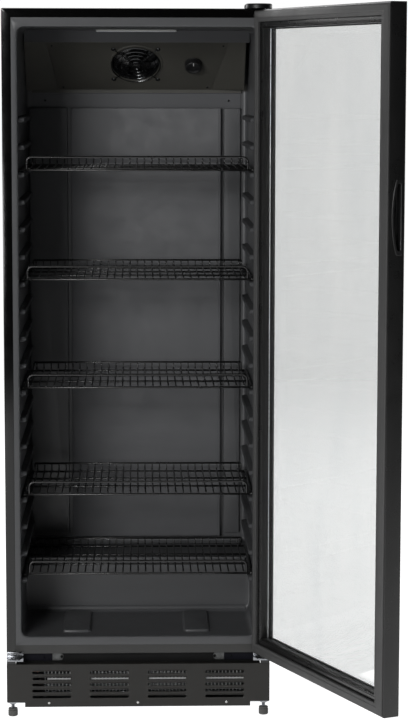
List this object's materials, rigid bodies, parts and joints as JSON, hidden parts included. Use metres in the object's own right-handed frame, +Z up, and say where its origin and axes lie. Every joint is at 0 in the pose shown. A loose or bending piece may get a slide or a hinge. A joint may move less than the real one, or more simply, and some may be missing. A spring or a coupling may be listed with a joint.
{
  "type": "glass door merchandiser",
  "caption": "Upright refrigerated display cabinet with wire shelves, a louvred base on levelling feet and a hinged glass door that stands open.",
  "frame": {"origin": "on the floor, under the middle of the cabinet's front face", "axes": "+Z up, +X towards the hinge side, +Y towards the back"},
  "size_m": [0.8318, 1.0384, 1.618],
  "materials": {
    "shell_black": "satin",
    "liner_grey": "satin",
    "foam": "matte",
    "galvanised": "satin",
    "panel_dark": "satin",
    "zinc": "polished",
    "screw_steel": "satin",
    "duct_grey": "satin",
    "cover_dark": "satin",
    "coil_fins": "satin",
    "fan_plastic": "matte",
    "guard_wire": "satin",
    "control_plastic": "satin",
    "lamp_white": "satin",
    "lamp_lens": "gloss",
    "compressor_black": "gloss",
    "rubber_black": "matte",
    "copper": "satin",
    "shelf_black": "gloss",
    "door_black": "satin",
    "glass": "gloss",
    "spacer_black": "matte",
    "gasket_grey": "matte",
    "cup_black": "satin",
    "bush_plastic": "satin",
    "tray_plastic": "satin"
  },
  "bodies": {
    "cabinet": {"outer_shell": "shell_black", "inner_liner": "liner_grey", "insulation_foam": "foam", "shelf_ribs_left": "liner_grey", "shelf_ribs_right": "liner_grey", "back_panel": "shell_black", "rear_grille": "shell_black", "floor_deck": "galvanised", "base_pan": "galvanised", "lower_front_rail": "panel_dark", "base_panel": "panel_dark", "base_panel_screws": "screw_steel", "air_duct_panel": "duct_grey", "drain_channel": "duct_grey", "evaporator_cover": "cover_dark", "evaporator_coil": "coil_fins", "evaporator_fan_frame": "fan_plastic", "evaporator_fan_guard": "guard_wire", "thermostat_body": "control_plastic", "lamp_housing": "lamp_white", "lamp_lens": "lamp_lens", "compressor": "compressor_black", "compressor_plate": "galvanised", "compressor_grommets": "rubber_black", "condenser_coil": "coil_fins", "condenser_fan_shroud": "galvanised", "condenser_fan_motor": "galvanised", "drip_tray": "tray_plastic", "filter_drier": "copper", "refrigerant_pipes": "copper", "cord_gland": "rubber_black", "foot_plates": "zinc", "top_hinge_plate": "zinc", "top_hinge_cover": "cup_black", "hinge_bracket_right": "zinc", "hinge_bracket_left": "zinc", "hinge_backing_plates": "panel_dark"},
    "door": {"door_hinge_stile": "door_black", "door_free_stile": "door_black", "door_top_rail": "door_black", "door_bottom_rail": "door_black", "outer_glass": "glass", "inner_glass": "glass", "glass_spacer": "spacer_black", "door_gasket": "gasket_grey", "handle_cup": "cup_black", "hinge_bushes": "bush_plastic"},
    "evaporator_fan": {"evaporator_fan_blades": "fan_plastic"},
    "condenser_fan": {"condenser_fan_blades": "fan_plastic"},
    "thermostat_dial": {"thermostat_knob": "control_plastic"},
    "shelf_1": {"shelf_1": "shelf_black"},
    "shelf_2": {"shelf_2": "shelf_black"},
    "shelf_3": {"shelf_3": "shelf_black"},
    "shelf_4": {"shelf_4": "shelf_black"},
    "shelf_5": {"shelf_5": "shelf_black"},
    "foot_front_left": {"levelling_foot_front_left": "rubber_black"},
    "foot_front_right": {"levelling_foot_front_right": "rubber_black"},
    "foot_rear_left": {"levelling_foot_rear_left": "rubber_black"},
    "foot_rear_right": {"levelling_foot_rear_right": "rubber_black"}
  },
  "joints": [
    {"name": "door_swing", "type": "hinge", "parent": "cabinet", "child": "door", "pos_m": [0.2835, -0.0265, 0], "axis": [0, 0, 1], "range_deg": [-113.5, 14.5]},
    {"name": "evaporator_fan_spin", "type": "hinge", "parent": "cabinet", "child": "evaporator_fan", "pos_m": [-0.003, 0.34591, 1.488], "axis": [0, -0.6666, -0.7454], "continuous": true},
    {"name": "condenser_fan_spin", "type": "hinge", "parent": "cabinet", "child": "condenser_fan", "pos_m": [0, 0.094, 0.094], "axis": [0, 1, 0], "continuous": true},
    {"name": "thermostat_turn", "type": "hinge", "parent": "cabinet", "child": "thermostat_dial", "pos_m": [0.133, 0.34367, 1.49], "axis": [0, -0.6666, -0.7454], "range_deg": [-150, 150]},
    {"name": "shelf_1_slide", "type": "slide", "parent": "cabinet", "child": "shelf_1", "axis": [0, -1, 0], "range_m": [0, 0.03]},
    {"name": "shelf_2_slide", "type": "slide", "parent": "cabinet", "child": "shelf_2", "axis": [0, -1, 0], "range_m": [0, 0.03]},
    {"name": "shelf_3_slide", "type": "slide", "parent": "cabinet", "child": "shelf_3", "axis": [0, -1, 0], "range_m": [0, 0.03]},
    {"name": "shelf_4_slide", "type": "slide", "parent": "cabinet", "child": "shelf_4", "axis": [0, -1, 0], "range_m": [0, 0.03]},
    {"name": "shelf_5_slide", "type": "slide", "parent": "cabinet", "child": "shelf_5", "axis": [0, -1, 0], "range_m": [0, 0.03]},
    {"name": "foot_front_left_screw", "type": "slide", "parent": "cabinet", "child": "foot_front_left", "axis": [0, 0, -1], "range_m": [0, 0.012]},
    {"name": "foot_front_right_screw", "type": "slide", "parent": "cabinet", "child": "foot_front_right", "axis": [0, 0, -1], "range_m": [0, 0.012]},
    {"name": "foot_rear_left_screw", "type": "slide", "parent": "cabinet", "child": "foot_rear_left", "axis": [0, 0, -1], "range_m": [0, 0.012]},
    {"name": "foot_rear_right_screw", "type": "slide", "parent": "cabinet", "child": "foot_rear_right", "axis": [0, 0, -1], "range_m": [0, 0.012]}
  ]
}
